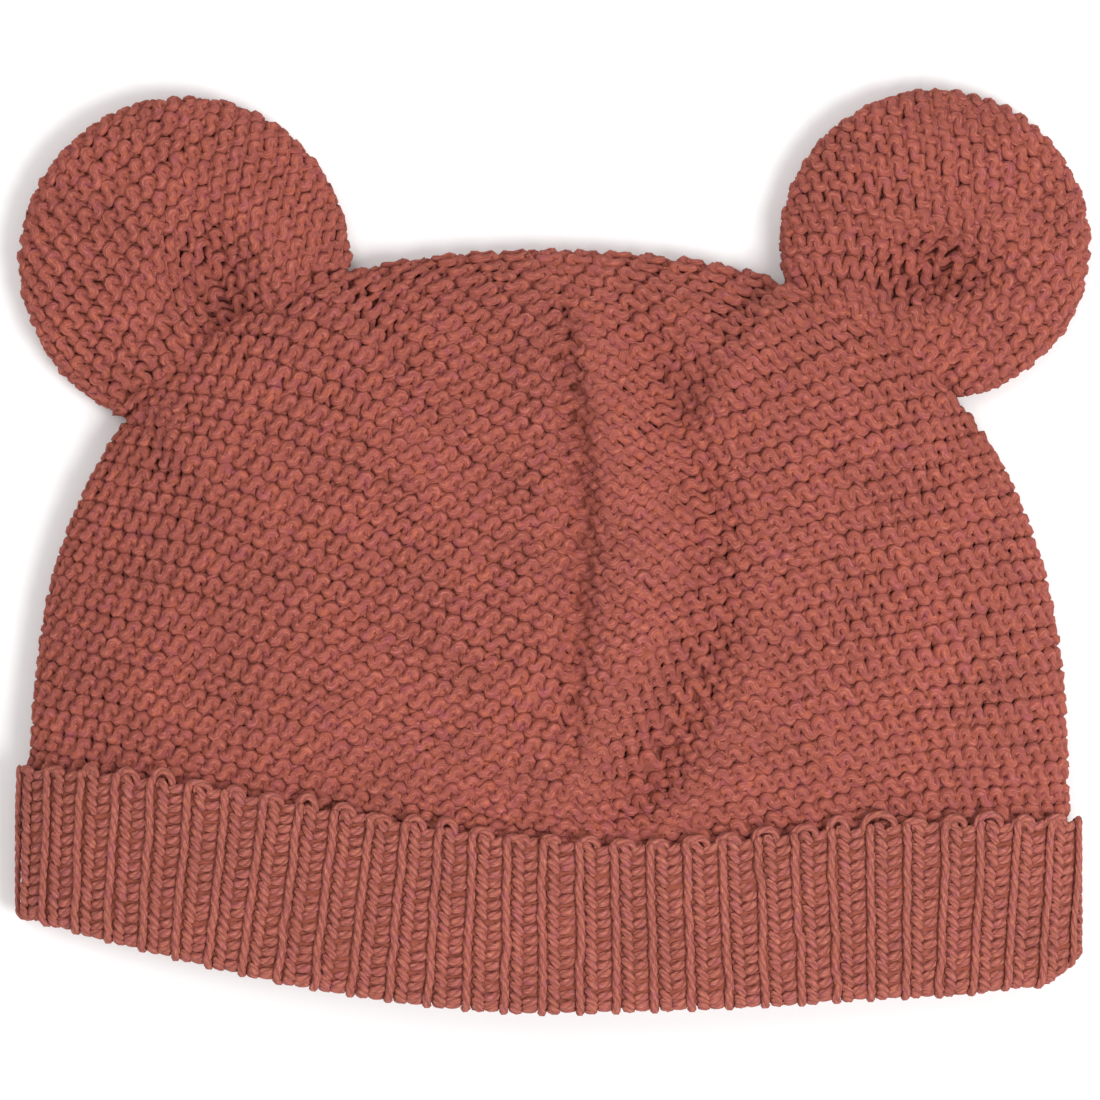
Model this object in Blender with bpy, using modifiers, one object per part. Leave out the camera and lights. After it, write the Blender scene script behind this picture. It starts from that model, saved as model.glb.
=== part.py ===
"""A baby hat with two round ears, knitted from thick cotton yarn, lying flat on its back.

The crown is one garter-stitch shell, open at the hem and folded at its two sides and its top.
A ribbed cuff is turned up over its lower edge, and two round ears stand off its top corners.
Metres. +X is to the right seen from above, +Y runs from the hem to the crown's top, and +Z is up.
The origin is on the surface that the hat lies on, under the middle of its back.
"""

import math

import bmesh
import bpy
import numpy as np
from mathutils import Matrix

# Crown
HALF_WIDTH = 0.0878  # from the middle line to a side fold
RISE = 0.0930  # from the base line up to the top fold
BASE_SHARE = 0.454  # how much of the rise lies below the origin
SQUARENESS = 2.5  # power of the outline's superellipse: 2 is an ellipse, more is squarer
CROWN_LOFT = 0.0300  # the front panel's height over what the hat lies on
HEM_LOFT = 0.0225  # the same at the hem, where the open edge lies flatter
FOLD_RADIUS = 0.0055  # bend of the cloth at the side and top folds
CROWN_WALL = 0.0030  # garter stitch in thick yarn
CLEARANCE = 0.0004  # between two pieces that touch

# Cuff
RIBS = 60
RIB_DEPTH = 0.0007  # from the top of a rib to the furrow beside it
CUFF_HEIGHT = 0.0330
CUFF_WALL = 0.0021
CUFF_OVERLAP = 0.0080  # how far the crown runs down behind the cuff
HEM_DROP = 0.0361  # from the crown's base line down to the hem's lowest point
BACK_SET_IN = 0.0025  # how much higher the back's hem lies than the front's, at the middle
BACK_DROP = 0.0150  # the length in which the back comes down from the cuff to the ground

# Ears
EAR_RADIUS = 0.0273
EAR_LOFT = 0.0075  # the front's swell over the ear's rim
EAR_RIM = 0.0052  # height of the ear's rim over what it lies on
DIMPLE_DEPTH = 0.0058
EAR_CORNER = 14.0  # power that blends the ear's circle into the crown's outline: more is sharper

# Folds of the front panel
SEAM_DEPTH = 0.0018
SEAM_HALF_WIDTH = 0.0034
CREASE_DEPTH = 0.0042
CREASE_HALF_WIDTH = 0.0060

# Mesh fineness
CROWN_COLUMNS = 72
CROWN_ROWS = 17
COLUMNS_PER_RIB = 4
EAR_COLUMNS = 24
EAR_ROWS = 13

BASE_Y = -BASE_SHARE * RISE
YARN_COLOUR = (0.319, 0.089, 0.066, 1.0)

# The cuff's edges. across: share of the half width. hem: rise over the lowest point, height: of the
# cuff there, both as shares of CUFF_HEIGHT. lean: sideways run of a rib for each length up.
CUFF_EDGES = (
    # across, hem, height, lean
    (-1.00, 0.470, 0.840, 0.05),
    (-0.79, 0.325, 0.950, 0.07),
    (-0.53, 0.160, 1.000, 0.13),
    (-0.39, 0.094, 1.000, 0.12),
    (-0.07, 0.000, 0.970, 0.02),
    (0.19, 0.008, 0.925, -0.03),
    (0.39, 0.030, 0.935, -0.05),
    (0.61, 0.065, 0.960, -0.02),
    (0.87, 0.115, 0.925, 0.06),
    (0.97, 0.175, 0.865, 0.06),
    (1.00, 0.260, 0.780, 0.05),
)

# The front panel's lines, from the base line up. up: share of the rise. seam, crease: places across,
# as shares of the half width. seam_on, crease_on: how deep each is there, as a share of its depth.
FRONT_LINES = (
    # up, seam, seam_on, crease, crease_on
    (-0.40, 0.030, 0.00, 0.120, 0.00),
    (-0.06, 0.032, 0.00, 0.135, 0.00),
    (0.02, 0.036, 0.25, 0.170, 1.00),
    (0.13, 0.040, 0.60, 0.230, 0.75),
    (0.27, 0.045, 0.90, 0.285, 0.55),
    (0.50, 0.058, 1.00, 0.290, 0.55),
    (0.68, 0.045, 1.00, 0.235, 0.80),
    (0.82, 0.025, 1.00, 0.190, 0.90),
    (0.93, 0.012, 1.00, 0.150, 0.30),
    (1.00, 0.010, 0.60, 0.130, 0.00),
)

# The ears. across, up: centre as shares of HALF_WIDTH and RISE. size: of EAR_RADIUS. dent_x, dent_y:
# the dimple's centre, dent_long, dent_wide: its half sizes, all as shares of the ear's radius.
# dent_turn: degrees from +X to its long side.
EARS = (
    # name, across, up, size, dent_x, dent_y, dent_long, dent_wide, dent_turn
    ("ear_left", -0.699, 0.974, 1.03, 0.17, -0.10, 0.34, 0.15, -72.0),
    ("ear_right", 0.739, 1.005, 0.967, -0.02, -0.15, 0.36, 0.13, 2.0),
)


def clear_scene():
    for obj in list(bpy.data.objects):
        bpy.data.objects.remove(obj, do_unlink=True)


def eased(share):
    """0 to 1 with a level start and end."""
    share = np.clip(share, 0.0, 1.0)
    return share * share * (3.0 - 2.0 * share)


def read_table(table, at, column):
    """A column of a table at the places given, as a smooth curve through its rows."""
    rows = np.array([row[:1] + (row[column],) for row in table], float)
    places, values = rows[:, 0], rows[:, 1]
    slopes = np.gradient(values, places)
    at = np.clip(at, places[0], places[-1])
    left = np.clip(np.searchsorted(places, at) - 1, 0, len(places) - 2)
    gap = places[left + 1] - places[left]
    t = (at - places[left]) / gap
    rise = 3 * t**2 - 2 * t**3
    start = t**3 - 2 * t**2 + t
    end = t**3 - t**2
    return (
        values[left] * (1 - rise)
        + values[left + 1] * rise
        + gap * (slopes[left] * start + slopes[left + 1] * end)
    )


def across_of(around):
    """The share of the half width at a place around the hat, in turns from the front's middle."""
    return np.sin(2 * math.pi * around)


def on_front(around):
    return np.cos(2 * math.pi * around) >= 0.0


def hem_y(around):
    """Where the cuff's lower edge lies along Y."""
    across = across_of(around)
    rise = read_table(CUFF_EDGES, across, 1) * CUFF_HEIGHT
    set_in = np.where(on_front(around), 0.0, BACK_SET_IN * (1.0 - across**2))
    return BASE_Y - HEM_DROP + rise + set_in


def cuff_height(around):
    return read_table(CUFF_EDGES, across_of(around), 2) * CUFF_HEIGHT


def folds(x, up):
    """How far the front panel's seam, ridge and crease lift it or press it in."""
    seam = read_table(FRONT_LINES, up, 1) * HALF_WIDTH
    seam_on = read_table(FRONT_LINES, up, 2)
    crease = read_table(FRONT_LINES, up, 3) * HALF_WIDTH
    crease_on = np.maximum(read_table(FRONT_LINES, up, 4), 0.0)
    groove = SEAM_DEPTH * seam_on * np.exp(-(((x - seam) / SEAM_HALF_WIDTH) ** 2))
    beside = (x - crease) / CREASE_HALF_WIDTH
    valley = CREASE_DEPTH * crease_on * np.exp(-(beside**2))
    ridge = 0.45 * CREASE_DEPTH * crease_on * np.exp(-((beside + 1.9) ** 2) / 2.0)
    return ridge - groove - valley


def hat_surface(around, y):
    """The outer face of the crown, and of the hidden stretch that runs on down inside the cuff."""
    power = SQUARENESS
    across = across_of(around)
    up = (y - BASE_Y) / RISE
    top = np.clip(up, 0.0, 1.0) ** power
    x = HALF_WIDTH * across * (1.0 - top) ** (1.0 / power)
    outward = (np.abs(across) ** power * (1.0 - top) + top) ** (1.0 / power)
    cuff_top = hem_y(around) + cuff_height(around)
    clear_of_cuff = (y - cuff_top - 0.15 * BACK_DROP) / BACK_DROP
    lift = (CUFF_WALL + CLEARANCE) * (1.0 - eased(clear_of_cuff))
    middle = FOLD_RADIUS + 0.5 * lift
    slack = eased((0.30 - up) / (0.30 + HEM_DROP / RISE))
    crest = CROWN_LOFT + (HEM_LOFT - CROWN_LOFT) * slack
    swell = np.clip(1.0 - outward**2.2, 0.0, 1.0) ** 0.6
    front = middle + (crest - middle) * swell + folds(x, up) * eased((1.0 - outward) / 0.2)
    bend = middle - lift
    left_of_bend = np.clip(bend - (1.0 - outward) * HALF_WIDTH, 0.0, bend)
    back = lift + bend - np.sqrt(np.clip(bend**2 - left_of_bend**2, 0.0, None))
    return np.stack([x, y + 0.0 * x, np.where(on_front(around), front, back)], axis=-1)


def outward_normal(around, y):
    step_around, step_y = 2e-4, 1e-4
    sideways = hat_surface(around + step_around, y) - hat_surface(around - step_around, y)
    upwards = hat_surface(around, y + step_y) - hat_surface(around, y - step_y)
    normal = np.cross(sideways, upwards)
    return normal / np.linalg.norm(normal, axis=-1, keepdims=True)


def knitted_material(name):
    material = bpy.data.materials.new(name)
    material.use_nodes = True
    shader = material.node_tree.nodes["Principled BSDF"]
    shader.inputs["Base Color"].default_value = YARN_COLOUR
    shader.inputs["Roughness"].default_value = 0.9
    shader.inputs["Metallic"].default_value = 0.0
    return material


def mesh_object(name, shape, collection):
    mesh = bpy.data.meshes.new(name)
    shape.to_mesh(mesh)
    shape.free()
    mesh.shade_smooth()
    mesh.materials.append(knitted_material(name + "_yarn"))
    obj = bpy.data.objects.new(name, mesh)
    collection.objects.link(obj)
    return obj


def moved(shape, points):
    for vertex, point in zip(shape.verts, points):
        vertex.co = point


def places(shape):
    return np.array([vertex.co for vertex in shape.verts])


def crown_columns(turn):
    """Spaces the crown's columns: close at the seam and the side folds, and wide on the back."""
    half = np.where(turn > 0.5, turn - 1.0, turn)
    share = np.abs(half) * 2.0
    front_share = 0.68
    on_face = share < front_share
    front = 0.25 * (share / front_share) ** 1.15
    back = 0.25 + 0.25 * (share - front_share) / (1.0 - front_share)
    return np.sign(half) * np.where(on_face, front, back)


def make_crown(collection):
    """The upper half of a ball, each ring drawn out to a flat loop of the hat, with a wall inwards."""
    shape = bmesh.new()
    bmesh.ops.create_uvsphere(
        shape, u_segments=CROWN_COLUMNS, v_segments=2 * CROWN_ROWS, radius=1.0
    )
    lower = [vertex for vertex in shape.verts if vertex.co.z < -1e-4]
    bmesh.ops.delete(shape, geom=lower, context="VERTS")
    at = places(shape)
    turn = np.round(np.arctan2(-at[:, 0], at[:, 1]) / (2 * math.pi) % 1.0, 6) % 1.0
    around = crown_columns(turn)
    bottom = hem_y(around) + cuff_height(around) - CUFF_OVERLAP
    y = bottom + (BASE_Y + RISE - bottom) * np.clip(at[:, 2], 0.0, 1.0)
    moved(shape, hat_surface(around, y))
    crown = mesh_object("crown", shape, collection)
    wall = crown.modifiers.new("wall", "SOLIDIFY")
    wall.thickness = CROWN_WALL
    wall.offset = -1.0
    wall.use_rim = True
    wall.use_quality_normals = True
    return crown


def cuff_profile():
    """The cuff's section from its outer top edge round the hem to its inner top edge and back.

    Each row is the distance out of the crown's outer face, the share of the cuff's height,
    a length added to it along the cloth, and whether the ribs show there.
    """
    outer = CLEARANCE + CUFF_WALL
    turn = 1.05 * CUFF_WALL
    inner_top = -CUFF_OVERLAP - CLEARANCE
    return (
        (outer, 1.00, -0.4 * CUFF_WALL, True),
        (outer, 0.68, 0.0, True),
        (outer, 0.36, 0.0, True),
        (outer, 0.00, turn, True),
        (0.5 * CLEARANCE, 0.00, 0.0, False),
        (-CUFF_WALL, 0.00, turn, False),
        (-CUFF_WALL, 1.00, inner_top, False),
        (0.0, 1.00, inner_top, False),
        (0.0, 0.00, 1.2 * turn, False),
        (CLEARANCE, 0.00, 1.2 * turn, False),
        (CLEARANCE, 1.00, 1.1 * inner_top, False),
        (CLEARANCE, 1.00, 0.0, False),
    )


def even_around(share, level):
    """Turns around the hat for a share of the cuff's length, which spaces the ribs evenly."""
    fine = np.linspace(-0.5, 0.5, 2001)
    line = hat_surface(fine, hem_y(fine) + level * cuff_height(fine))
    steps = np.linalg.norm(np.diff(line, axis=0), axis=1)
    length = np.concatenate([[0.0], np.cumsum(steps)])
    middle = length[1000]
    wanted = (share * length[-1] + middle) % length[-1]
    return np.interp(wanted, length, fine), length[-1]


def make_brim(collection):
    """A ring turned up over the crown's edge: a torus whose section becomes the cuff's two legs."""
    profile = cuff_profile()
    columns = RIBS * COLUMNS_PER_RIB
    shape = bmesh.new()
    ring = bmesh.ops.create_circle(shape, segments=len(profile), radius=0.25)["verts"]
    upright = Matrix.Rotation(math.pi / 2, 3, "X")
    bmesh.ops.rotate(shape, verts=ring, cent=(0, 0, 0), matrix=upright)
    bmesh.ops.translate(shape, verts=ring, vec=(1.0, 0.0, 0.0))
    bmesh.ops.spin(
        shape,
        geom=shape.edges[:],
        cent=(0, 0, 0),
        axis=(0, 0, 1),
        angle=2 * math.pi,
        steps=columns,
        use_merge=True,
    )
    bmesh.ops.recalc_face_normals(shape, faces=shape.faces)
    at = places(shape)
    column = np.round(np.arctan2(-at[:, 1], at[:, 0]) / (2 * math.pi) * columns) % columns
    ring_turn = np.arctan2(at[:, 2], np.hypot(at[:, 0], at[:, 1]) - 1.0) / (2 * math.pi)
    row = np.round(ring_turn * len(profile)).astype(int) % len(profile)
    out, share, added, ribbed = (np.array(values)[row] for values in zip(*profile))
    straight, round_length = even_around(column / columns, 0.5)
    height = cuff_height(straight)
    lean = read_table(CUFF_EDGES, across_of(straight), 3) * np.where(on_front(straight), 1.0, 0.3)
    level = share + added / height
    shifted = column / columns + lean * (level - 0.5) * height / round_length
    around, _ = even_around(shifted, 0.5)
    y = hem_y(around) + share * cuff_height(around) + added
    on_rib = (column % COLUMNS_PER_RIB) < COLUMNS_PER_RIB / 2
    relief = np.where(ribbed & ~on_rib & on_front(around), RIB_DEPTH, 0.0)
    out = out - relief
    moved(shape, hat_surface(around, y) + out[:, None] * outward_normal(around, y))
    return mesh_object("brim", shape, collection)


def crown_distance(centre, directions):
    """How far the crown's outline lies from a point outside it, along each direction."""
    far = 3.0 * EAR_RADIUS
    steps = np.linspace(0.0, far, 1500)
    points = centre + directions[:, None, :] * steps[None, :, None]
    up = np.clip((points[..., 1] - BASE_Y) / RISE, 0.0, None)
    inside = (
        np.abs(points[..., 0] / HALF_WIDTH) ** SQUARENESS + up**SQUARENESS
    ) < 1.0
    first = np.argmax(inside, axis=1)
    return np.where(inside.any(axis=1), steps[first], far)


def make_ear(row, collection):
    """A ball drawn out to a round pad that lies flat below and meets the crown's outline.

    Its poles are at the dimple, so that the rings of faces run around the dimple.
    """
    name, across, up, size, dent_x, dent_y, dent_long, dent_wide, dent_turn = row
    radius = EAR_RADIUS * size
    centre = np.array([across * HALF_WIDTH, BASE_Y + up * RISE])
    from_middle = radius * np.array([dent_x, dent_y])
    dimple = centre + from_middle
    shape = bmesh.new()
    bmesh.ops.create_uvsphere(
        shape, u_segments=EAR_COLUMNS, v_segments=EAR_ROWS, radius=1.0
    )
    at = places(shape)
    level = np.arcsin(np.clip(at[:, 2], -1.0, 1.0))
    turn = np.arctan2(at[:, 1], at[:, 0])
    direction = np.stack([np.cos(turn), np.sin(turn)], axis=-1)
    ahead = direction @ from_middle
    to_rim = np.sqrt(ahead**2 + radius**2 - from_middle @ from_middle) - ahead
    to_crown = crown_distance(dimple, direction) - CLEARANCE
    edge = (to_rim**-EAR_CORNER + to_crown**-EAR_CORNER) ** (-1.0 / EAR_CORNER)
    offset = direction * (edge * np.cos(level) ** 0.62)[:, None]
    side = math.radians(dent_turn)
    along = (offset[:, 0] * math.cos(side) + offset[:, 1] * math.sin(side)) / (dent_long * radius)
    beside = (offset[:, 1] * math.cos(side) - offset[:, 0] * math.sin(side)) / (dent_wide * radius)
    dent = DIMPLE_DEPTH * np.exp(-(along**2) - beside**2)
    above = EAR_RIM + EAR_LOFT * np.abs(np.sin(level)) ** 0.8 - dent
    below = EAR_RIM * (1.0 - np.clip(1.7 * np.abs(np.sin(level)), 0.0, 1.0))
    z = np.where(level >= -1e-6, above, below)
    moved(shape, np.column_stack([dimple + offset, z]))
    return mesh_object(name, shape, collection)


def main():
    clear_scene()
    collection = bpy.data.collections.new("baby_hat_with_ears")
    bpy.context.scene.collection.children.link(collection)
    make_crown(collection)
    make_brim(collection)
    for row in EARS:
        make_ear(row, collection)


main()
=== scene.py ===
"""The baby hat with ears as it looks: every row, rib and loop of its thick cotton yarn.

Metres, in the same frame as the solids: the hat lies on its back, +Y runs from the hem to the
crown's top, and +Z points up at the camera.
"""

import math

import bmesh
import bpy
import numpy as np
from mathutils import Matrix, Vector


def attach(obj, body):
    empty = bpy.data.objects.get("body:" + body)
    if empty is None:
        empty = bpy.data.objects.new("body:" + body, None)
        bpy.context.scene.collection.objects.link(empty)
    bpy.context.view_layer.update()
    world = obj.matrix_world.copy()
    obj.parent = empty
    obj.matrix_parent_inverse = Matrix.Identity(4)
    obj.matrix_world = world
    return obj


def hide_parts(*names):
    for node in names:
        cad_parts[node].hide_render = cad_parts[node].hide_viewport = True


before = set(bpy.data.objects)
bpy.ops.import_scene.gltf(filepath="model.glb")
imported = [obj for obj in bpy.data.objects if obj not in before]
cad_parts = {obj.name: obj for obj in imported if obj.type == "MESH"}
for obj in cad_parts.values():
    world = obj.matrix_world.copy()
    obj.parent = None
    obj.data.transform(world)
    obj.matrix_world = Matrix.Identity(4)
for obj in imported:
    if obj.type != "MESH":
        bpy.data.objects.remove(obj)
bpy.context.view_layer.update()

MM = 0.001

# The hat's own sizes, as the solids have them
HALF_WIDTH = 0.0878
RISE = 0.0930
BASE_Y = -0.454 * RISE
SQUARENESS = 2.5  # power of the crown's outline: 2 is an ellipse
CROWN_LOFT = 0.0300
HEM_LOFT = 0.0225
FOLD_RADIUS = 0.0055
CLEARANCE = 0.0004
RIBS = 60
CUFF_HEIGHT = 0.0330
CUFF_WALL = 0.0021
HEM_BEND = CUFF_WALL + 0.5 * CLEARANCE  # radius of the cuff's fold at the hem
HEM_DROP = 0.0361
BACK_SET_IN = 0.0025
BACK_DROP = 0.0150
EAR_RADIUS = 0.0273
EAR_LOFT = 0.0075
EAR_RIM = 0.0052
EAR_CORNER = 14.0  # how sharply an ear's outline turns where it meets the crown
EAR_ROUNDNESS = 0.62  # below 1, an ear keeps its width further up

# Folds and dimples, deeper or wider than the solids' as the yarn fills narrow ones in part
SEAM_DEPTH = 0.0031
SEAM_HALF_WIDTH = 0.0027
CREASE_DEPTH = 0.0064
CREASE_HALF_WIDTH = 0.0061
DIMPLE_DEPTH = 0.0050
DIMPLE_WIDER = 1.35

# across: share of HALF_WIDTH. hem, height: shares of CUFF_HEIGHT. lean: of a rib, to the right
CUFF_EDGES = (
    # across, hem, height, lean
    (-1.00, 0.470, 0.840, 0.05),
    (-0.79, 0.325, 0.950, 0.07),
    (-0.53, 0.160, 1.000, 0.13),
    (-0.39, 0.094, 1.000, 0.12),
    (-0.07, 0.000, 0.970, 0.02),
    (0.19, 0.008, 0.925, -0.03),
    (0.39, 0.030, 0.935, -0.05),
    (0.61, 0.065, 0.960, -0.02),
    (0.87, 0.115, 0.925, 0.06),
    (0.97, 0.175, 0.865, 0.06),
    (1.00, 0.260, 0.780, 0.05),
)

# up: share of RISE. seam, crease: shares of HALF_WIDTH. seam_on, crease_on: shares of their depths
FRONT_LINES = (
    # up, seam, seam_on, crease, crease_on
    (-0.40, 0.030, 0.00, 0.120, 0.00),
    (-0.06, 0.032, 0.00, 0.135, 0.00),
    (0.02, 0.036, 0.25, 0.170, 0.80),
    (0.13, 0.040, 0.60, 0.230, 0.85),
    (0.27, 0.045, 0.90, 0.285, 0.75),
    (0.50, 0.058, 1.00, 0.290, 0.78),
    (0.68, 0.045, 1.00, 0.235, 0.80),
    (0.82, 0.025, 1.00, 0.190, 0.75),
    (0.93, 0.012, 1.00, 0.150, 0.30),
    (1.00, 0.010, 0.60, 0.130, 0.00),
)

# The ears as the solids have them, and fan_x, fan_y: where the lines of stitches would meet, in mm
EARS = (
    # name, across, up, size, dent_x, dent_y, dent_long, dent_wide, dent_turn, fan_x, fan_y
    ("ear_left", -0.699, 0.974, 1.03, 0.17, -0.10, 0.34, 0.15, -72.0, -31.9, 17.6),
    ("ear_right", 0.739, 1.005, 0.967, -0.02, -0.15, 0.36, 0.13, 2.0, 45.5, 16.8),
)

# The lines in which the ears meet the crown, from one end to the other, in mm
JOINS = (
    # x0, y0, x1, y1
    (-70.6, 24.7, -34.1, 46.2),
    (36.6, 47.1, 71.7, 25.2),
)

# How many ridges lie below a place, as a sum of powers of x and y, both in units of 50 mm.
# The numbers are a fit to the rows' directions and spacing in the photo.
RIDGES_BELOW = (
    # power of x, power of y, left of the seam, right of the seam
    (0, 1, 13.344, 14.791),
    (0, 2, -0.826, -1.296),
    (0, 3, -0.232, -0.261),
    (0, 4, -0.596, -0.704),
    (1, 0, 6.140, -6.866),
    (1, 1, 3.887, -5.044),
    (1, 2, 0.706, 1.361),
    (1, 3, -0.985, -0.213),
    (2, 0, -2.154, -1.096),
    (2, 1, 3.973, 5.797),
    (2, 2, 1.464, -0.623),
    (3, 0, -3.114, 3.020),
    (3, 1, 0.863, -2.142),
    (4, 0, -0.895, -0.953),
)

# The knitting
YARN = 0.98 * MM  # half width of the yarn in garter stitch
YARN_FLATNESS = 0.72  # its depth as a share of its width
RIDGE_BACK = 0.26 * MM  # how far a ridge's yarn lies back from the outer face
BETWEEN_LOWER = 0.45 * MM  # how far the rows between the ridges lie behind them
BETWEEN_FACING = -0.6  # they go round the folds until they face down this much
FRONT_FACING = -0.25  # and the front's ridges until they face down this much
WAVE = 0.270  # how far a ridge's yarn swings up and down, as a share of the ridges' spacing
JOIN_RAISE = 0.0055  # how much higher the crown's fold is held where an ear is sewn to it
EAR_OVERLAP = 4.6 * MM  # how far an ear's knitting reaches in over the crown's outline
CROWN_INSET = 2.3 * MM  # how far the crown's ground lies behind the outer face
EAR_INSET = 2.1 * MM
EAR_RIDGE = 3.60 * MM  # from one ridge of an ear to the next
EAR_STITCH = 3.05 * MM
RIDGE_POINTS, BETWEEN_POINTS = 12, 8  # points in a stitch's length
RIDGE_SIDES, BETWEEN_SIDES = 6, 4  # corners of the yarn's section
CUFF_ROW = 1.76 * MM  # from one row of the cuff to the next
STRAND = 0.72 * MM  # half width of the cuff's yarn
FURROW_ARC = 0.84 * MM  # and where it shows in a furrow


def eased(share):
    share = np.clip(share, 0.0, 1.0)
    return share * share * (3.0 - 2.0 * share)


def read_table(table, at, column):
    """A column of a table at the places given, as a smooth curve through its rows."""
    rows = np.array([row[:1] + (row[column],) for row in table], float)
    places, values = rows[:, 0], rows[:, 1]
    slopes = np.gradient(values, places)
    at = np.clip(at, places[0], places[-1])
    left = np.clip(np.searchsorted(places, at) - 1, 0, len(places) - 2)
    gap = places[left + 1] - places[left]
    t = (at - places[left]) / gap
    rise = 3 * t**2 - 2 * t**3
    start = t**3 - 2 * t**2 + t
    end = t**3 - t**2
    return (
        values[left] * (1 - rise)
        + values[left + 1] * rise
        + gap * (slopes[left] * start + slopes[left + 1] * end)
    )


def across_of(around):
    return np.sin(2 * math.pi * around)


def on_front(around):
    return np.cos(2 * math.pi * around) >= 0.0


def hem_y(around):
    across = across_of(around)
    rise = read_table(CUFF_EDGES, across, 1) * CUFF_HEIGHT
    set_in = np.where(on_front(around), 0.0, BACK_SET_IN * (1.0 - across**2))
    return BASE_Y - HEM_DROP + rise + set_in


def cuff_height(around):
    return read_table(CUFF_EDGES, across_of(around), 2) * CUFF_HEIGHT


def cuff_top(around):
    return hem_y(around) + cuff_height(around)


def folds(x, up):
    seam = read_table(FRONT_LINES, up, 1) * HALF_WIDTH
    seam_on = read_table(FRONT_LINES, up, 2)
    crease = read_table(FRONT_LINES, up, 3) * HALF_WIDTH
    crease_on = np.maximum(read_table(FRONT_LINES, up, 4), 0.0)
    groove = SEAM_DEPTH * seam_on * np.exp(-(((x - seam) / SEAM_HALF_WIDTH) ** 2))
    beside = (x - crease) / CREASE_HALF_WIDTH
    valley = CREASE_DEPTH * crease_on * np.exp(-(beside**2))
    ridge = 0.45 * CREASE_DEPTH * crease_on * np.exp(-((beside + 1.9) ** 2) / 2.0)
    return ridge - groove - valley


def width_at(y):
    """Half width of the crown's outline at a height up the hat."""
    top = np.clip((y - BASE_Y) / RISE, 0.0, 1.0) ** SQUARENESS
    return HALF_WIDTH * (1.0 - top) ** (1.0 / SQUARENESS)


def held_by_ears(x, y):
    """1 beside the middle of an ear's join, and 0 away from both."""
    held = np.zeros(np.broadcast(x, y).shape)
    for x0, y0, x1, y1 in JOINS:
        run = np.array([x1 - x0, y1 - y0]) * MM
        half = 0.5 * np.linalg.norm(run)
        from_x, from_y = x - 0.5 * (x0 + x1) * MM, y - 0.5 * (y0 + y1) * MM
        along = (from_x * run[0] + from_y * run[1]) / (2 * half)
        beside_join = eased((half + 2 * MM - np.abs(along)) / (7 * MM))
        held = held + beside_join * eased((y - 2 * MM) / (16 * MM))
    return held


def hat_surface(around, y):
    """The crown's outer face, at a place in turns around it and a height up the hat."""
    power = SQUARENESS
    profile, fullness = 2.2, 0.6  # powers of the front's swell, from its fold to its middle
    slack_below = 0.30  # share of RISE below which the front sinks to the hem's loft
    across = across_of(around)
    up = (y - BASE_Y) / RISE
    top = np.clip(up, 0.0, 1.0) ** power
    x = HALF_WIDTH * across * (1.0 - top) ** (1.0 / power)
    outward = (np.abs(across) ** power * (1.0 - top) + top) ** (1.0 / power)
    clear_of_cuff = (y - cuff_top(around) - 0.15 * BACK_DROP) / BACK_DROP
    lift = (CUFF_WALL + CLEARANCE) * (1.0 - eased(clear_of_cuff))
    raised = JOIN_RAISE * held_by_ears(x, y)
    middle = FOLD_RADIUS + 0.5 * lift + raised
    slack = eased((slack_below - up) / (slack_below + HEM_DROP / RISE))
    crest = CROWN_LOFT + (HEM_LOFT - CROWN_LOFT) * slack
    swell = np.clip(1.0 - outward**profile, 0.0, 1.0) ** fullness
    front = middle + (crest - middle) * swell + folds(x, up) * eased((1.0 - outward) / 0.2)
    # The back lies flat, and bends up to the fold
    bend = middle - raised - lift
    left_of_bend = np.clip(bend - (1.0 - outward) * HALF_WIDTH, 0.0, bend)
    back = lift + bend - np.sqrt(np.clip(bend**2 - left_of_bend**2, 0.0, None))
    back = back + raised * eased((outward - 0.95) / 0.05)
    return np.stack([x, y + 0.0 * x, np.where(on_front(around), front, back)], axis=-1)


def unit(vectors):
    return vectors / np.maximum(np.linalg.norm(vectors, axis=-1, keepdims=True), 1e-12)


def outward_normal(around, y):
    step_around, step_y = 2e-4, 1e-4
    sideways = hat_surface(around + step_around, y) - hat_surface(around - step_around, y)
    upwards = hat_surface(around, y + step_y) - hat_surface(around, y - step_y)
    return unit(np.cross(sideways, upwards))


# Yarn


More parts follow.
